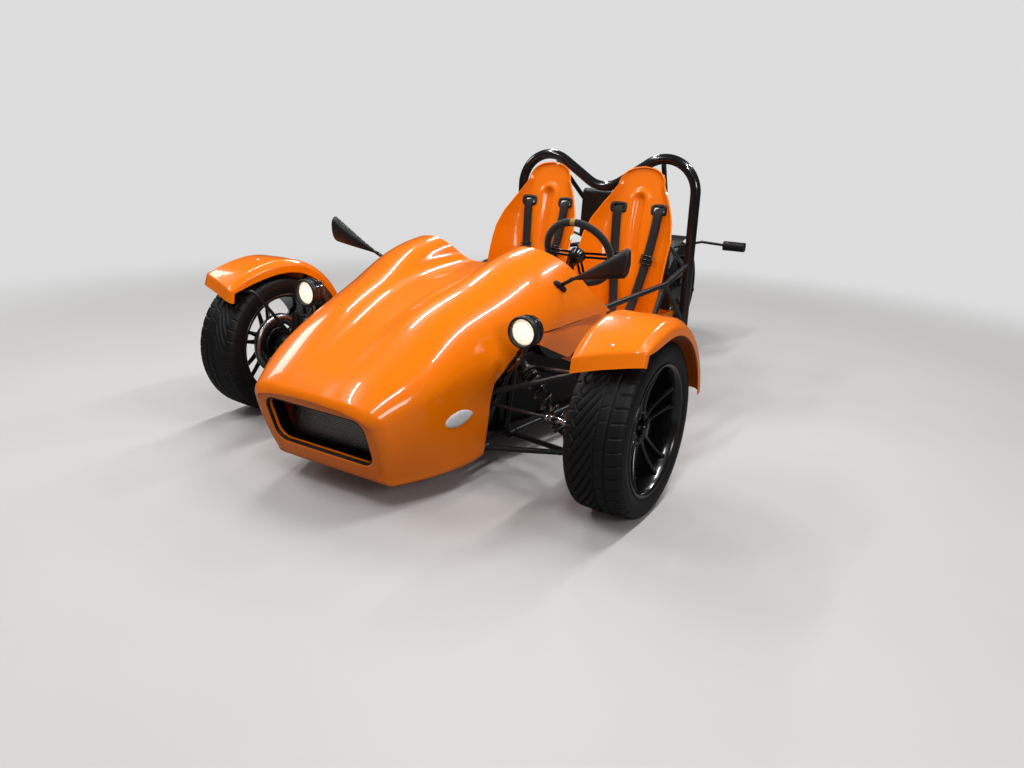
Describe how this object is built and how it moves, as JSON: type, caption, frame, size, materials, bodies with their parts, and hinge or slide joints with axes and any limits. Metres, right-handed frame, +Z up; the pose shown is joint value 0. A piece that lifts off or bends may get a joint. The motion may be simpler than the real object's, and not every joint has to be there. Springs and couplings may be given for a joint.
{
  "type": "three wheeled car",
  "caption": "Open sports three wheeler with a low orange nose, side by side bucket seats, a roll hoop and chain drive to the rear wheel.",
  "frame": {"origin": "on the floor, midway along and across the car", "axes": "+X to the car's left, +Y rearwards, +Z up"},
  "size_m": [1.936, 3.5083, 1.1526],
  "materials": {
    "body_orange": "gloss moulded shell, orange",
    "frame_black": "satin black powder coat",
    "hoop_black": "gloss black",
    "wheel_black": "gloss black",
    "tyre": "worn matt black",
    "mesh": "black wire mesh",
    "alloy": "cast and machined",
    "dark_plastic": "fine grain",
    "rubber": "matt",
    "engine_black": "matt black castings",
    "exhaust_steel": "brushed",
    "chain_steel": "oiled",
    "webbing": "woven black",
    "suede": "black suede",
    "lens": "clear",
    "lamp_black": "gloss black"
  },
  "bodies": {
    "chassis": {"nose_cowl": "body_orange", "grille_mesh": "mesh", "radiator": "alloy", "front_frame": "frame_black", "side_frames": "frame_black", "cockpit_tub": "body_orange", "dash": "dark_plastic", "seat_left": "body_orange", "seat_right": "body_orange", "firewall": "frame_black", "roll_hoop": "hoop_black", "rear_frame": "frame_black", "engine": "engine_black", "fuel_tank": "dark_plastic", "exhaust": "exhaust_steel", "swingarm": "frame_black", "rear_shock": "frame_black", "rear_mudguard": "dark_plastic", "chain": "chain_steel", "wishbones_left": "frame_black", "wishbones_right": "frame_black", "damper_left": "frame_black", "damper_right": "frame_black", "steering_rack": "alloy", "headlight_left": "lamp_black", "headlight_right": "lamp_black", "mirror_left": "lamp_black", "mirror_right": "lamp_black", "turn_lamps": "lens", "rear_lamps": "lamp_black", "harnesses": "webbing", "pedals": "alloy", "hand_lever": "alloy"},
    "left_upright": {"upright_left": "frame_black", "wing_left": "body_orange"},
    "right_upright": {"upright_right": "frame_black", "wing_right": "body_orange"},
    "left_wheel": {"rim_left": "wheel_black", "tyre_left": "tyre"},
    "right_wheel": {"rim_right": "wheel_black", "tyre_right": "tyre"},
    "back_wheel": {"rear_rim": "wheel_black", "rear_tyre": "tyre"},
    "rack_rods": {"tie_rods": "frame_black"},
    "steering": {"steering_wheel": "suede"}
  },
  "joints": [
    {"name": "left_steer", "type": "hinge", "parent": "chassis", "child": "left_upright", "pos_m": [0.688, -1.153, 0.298], "axis": [0, 0, 1], "range_deg": [-28, 28]},
    {"name": "left_wheel_spin", "type": "hinge", "parent": "left_upright", "child": "left_wheel", "pos_m": [0.853, -1.153, 0.298], "axis": [1, 0, 0], "continuous": true},
    {"name": "right_steer", "type": "hinge", "parent": "chassis", "child": "right_upright", "pos_m": [-0.688, -1.153, 0.298], "axis": [0, 0, 1], "range_deg": [-28, 28]},
    {"name": "right_wheel_spin", "type": "hinge", "parent": "right_upright", "child": "right_wheel", "pos_m": [-0.853, -1.153, 0.298], "axis": [1, 0, 0], "continuous": true},
    {"name": "back_wheel_spin", "type": "hinge", "parent": "chassis", "child": "back_wheel", "pos_m": [0, 1.447, 0.311], "axis": [1, 0, 0], "continuous": true},
    {"name": "rack_slide", "type": "slide", "parent": "chassis", "child": "rack_rods", "axis": [1, 0, 0], "range_m": [-0.046, 0.046]},
    {"name": "steering_turn", "type": "hinge", "parent": "chassis", "child": "steering", "pos_m": [0.24, -0.378, 0.724], "axis": [0, 0.8942, 0.4476], "range_deg": [-255, 255]}
  ],
  "couplings": [
    {"joint": "right_steer", "follows": "left_steer", "ratio": 1},
    {"joint": "rack_slide", "follows": "left_steer", "m_per_rad": 0.092},
    {"joint": "steering_turn", "follows": "left_steer", "ratio": 9}
  ]
}
